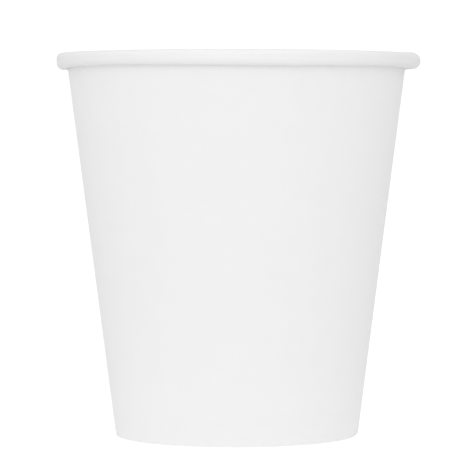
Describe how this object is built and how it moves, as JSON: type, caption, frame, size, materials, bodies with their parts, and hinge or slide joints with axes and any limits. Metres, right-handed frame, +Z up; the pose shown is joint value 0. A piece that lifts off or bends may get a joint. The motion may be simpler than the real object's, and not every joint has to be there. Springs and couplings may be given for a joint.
{
  "type": "paper coffee cup",
  "caption": "Plain white paper cup for hot drinks: lapped conical board sidewall, rolled rim, and a recessed base disc clamped by a folded hem.",
  "frame": {"origin": "centre of the flat ring that the cup stands on", "axes": "+Z up through the open mouth, +X towards the side seam, and the picture looks along +Y"},
  "size_m": [0.0903, 0.0889, 0.0951],
  "materials": {
    "sidewall_board": "matt white board, lined inside with a thin satin film",
    "base_board": "matt white board, lined on top with a thin satin film"
  },
  "bodies": {
    "root": {"sidewall": "sidewall_board", "base_disc": "base_board"}
  },
  "joints": []
}
